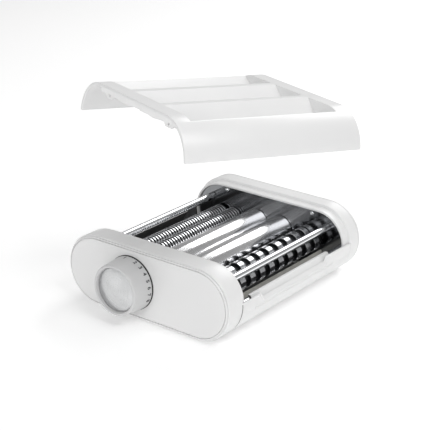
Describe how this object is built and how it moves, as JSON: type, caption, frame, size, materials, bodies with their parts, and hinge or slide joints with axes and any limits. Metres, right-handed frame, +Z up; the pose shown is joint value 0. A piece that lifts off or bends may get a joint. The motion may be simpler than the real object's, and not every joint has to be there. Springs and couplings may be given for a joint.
{
  "type": "pasta roller machine",
  "caption": "Pasta roller machine: smooth dough rollers, fine and wide cutters, lift-off white cover with feed slots, thickness knob in front and a square drive shaft behind.",
  "frame": {"origin": "on the underside, in the middle of the body (under the bridge across the middle outlet)", "axes": "+Z up, +Y from the knob end to the drive shaft end along the rollers, +X to the wide cutter's side"},
  "size_m": [0.2046, 0.2714, 0.1834],
  "materials": {
    "white": "satin",
    "knob": "satin",
    "spun": "spun",
    "chrome": "polished",
    "roller": "polished",
    "cutter": "machined",
    "plate": "polished",
    "gear": "moulded",
    "nylon": "moulded"
  },
  "bodies": {
    "frame": {"front_cap": "white", "front_face_panel": "white", "rear_cap": "white", "rear_cover": "white", "hub_sleeve": "chrome", "front_side_plate": "plate", "rear_side_plate": "plate", "base_tray": "white", "tie_rod_1": "chrome", "tie_rod_2": "chrome", "tie_rod_3": "chrome", "tie_rod_4": "chrome", "rod_nut_1": "chrome", "rod_nut_2": "chrome", "rod_nut_3": "chrome", "rod_nut_4": "chrome", "catch_ball_1": "chrome", "catch_ball_2": "chrome", "catch_ball_3": "chrome", "catch_ball_4": "chrome", "cover_screw_1": "chrome", "cover_screw_2": "chrome", "cover_screw_3": "chrome", "cover_screw_4": "chrome", "dough_bush_front": "nylon", "dough_bush_rear": "nylon", "spaghetti_bearing_front": "nylon", "spaghetti_bearing_rear": "nylon", "fettuccine_bearing_front": "nylon", "fettuccine_bearing_rear": "nylon", "dough_scraper_fixed": "plate", "dough_scraper_adjustable": "plate", "spaghetti_comb_inner": "nylon", "spaghetti_comb_outer": "nylon", "fettuccine_comb_inner": "nylon", "fettuccine_comb_outer": "nylon", "idler_stud": "chrome"},
    "drive_roller": {"dough_roller_fixed": "roller", "drive_gear": "gear", "drive_shaft": "chrome"},
    "adjustable_roller": {"dough_roller_adjustable": "roller", "adjust_gear": "gear"},
    "spaghetti_inner": {"spaghetti_roller_inner": "cutter", "spaghetti_cluster_gear": "gear"},
    "spaghetti_outer": {"spaghetti_roller_outer": "cutter", "spaghetti_outer_gear": "gear"},
    "fettuccine_inner": {"fettuccine_roller_inner": "cutter", "fettuccine_cluster_gear": "gear"},
    "fettuccine_outer": {"fettuccine_roller_outer": "cutter", "fettuccine_outer_gear": "gear"},
    "idler": {"idler_gear": "gear"},
    "gap_eccentric": {"knob_shaft": "chrome", "gap_bush_front": "nylon", "gap_bush_rear": "nylon"},
    "knob": {"thickness_knob": "knob", "knob_dial_disc": "spun"},
    "cover_guide": {"cover_guide_pin": "chrome"},
    "cover_pivot": {"cover_guide_ball": "chrome"},
    "cover": {"cover_shell": "white"}
  },
  "joints": [
    {"name": "roller_drive", "type": "hinge", "parent": "frame", "child": "drive_roller", "pos_m": [0.0125, 0, 0.02955], "axis": [0, 1, 0], "continuous": true},
    {"name": "adjustable_roller_spin", "type": "hinge", "parent": "gap_eccentric", "child": "adjustable_roller", "pos_m": [-0.0125, 0, 0.02955], "axis": [0, 1, 0], "continuous": true},
    {"name": "spaghetti_inner_spin", "type": "hinge", "parent": "frame", "child": "spaghetti_inner", "pos_m": [-0.03625, 0, 0.02955], "axis": [0, 1, 0], "continuous": true},
    {"name": "spaghetti_outer_spin", "type": "hinge", "parent": "frame", "child": "spaghetti_outer", "pos_m": [-0.04945, 0, 0.02955], "axis": [0, 1, 0], "continuous": true},
    {"name": "fettuccine_inner_spin", "type": "hinge", "parent": "frame", "child": "fettuccine_inner", "pos_m": [0.03625, 0, 0.02955], "axis": [0, 1, 0], "continuous": true},
    {"name": "fettuccine_outer_spin", "type": "hinge", "parent": "frame", "child": "fettuccine_outer", "pos_m": [0.04945, 0, 0.02955], "axis": [0, 1, 0], "continuous": true},
    {"name": "idler_spin", "type": "hinge", "parent": "frame", "child": "idler", "pos_m": [-0.01253, 0, 0.02165], "axis": [0, 1, 0], "continuous": true},
    {"name": "knob_turn", "type": "hinge", "parent": "frame", "child": "gap_eccentric", "pos_m": [-0.01378, 0, 0.02978], "axis": [0, -1, 0], "range_deg": [0, 118]},
    {"name": "knob_pull", "type": "slide", "parent": "gap_eccentric", "child": "knob", "axis": [0, -1, 0], "range_m": [0, 0.004], "stiffness_N_per_m": 500},
    {"name": "cover_lift", "type": "slide", "parent": "frame", "child": "cover_guide", "axis": [0, 0, 1], "range_m": [-0.03, 0]},
    {"name": "cover_turn", "type": "hinge", "parent": "cover_guide", "child": "cover_pivot", "pos_m": [-0.062, 0.083, 0.0483], "axis": [-0.2562, -0.0125, -0.9665], "range_deg": [-21.85, 0]},
    {"name": "cover_raise", "type": "slide", "parent": "cover_pivot", "child": "cover", "axis": [0.5822, -0.2241, 0.7816], "range_m": [-0.09869, 0]}
  ],
  "couplings": [
    {"joint": "adjustable_roller_spin", "follows": "roller_drive", "ratio": -1},
    {"joint": "idler_spin", "follows": "roller_drive", "ratio": -0.90909},
    {"joint": "spaghetti_inner_spin", "follows": "roller_drive", "ratio": 1.1111},
    {"joint": "spaghetti_outer_spin", "follows": "roller_drive", "ratio": -1.1111},
    {"joint": "fettuccine_inner_spin", "follows": "roller_drive", "ratio": -1.1111},
    {"joint": "fettuccine_outer_spin", "follows": "roller_drive", "ratio": 1.1111},
    {"joint": "cover_turn", "follows": "cover_raise", "rad_per_m": 3.8602}
  ]
}
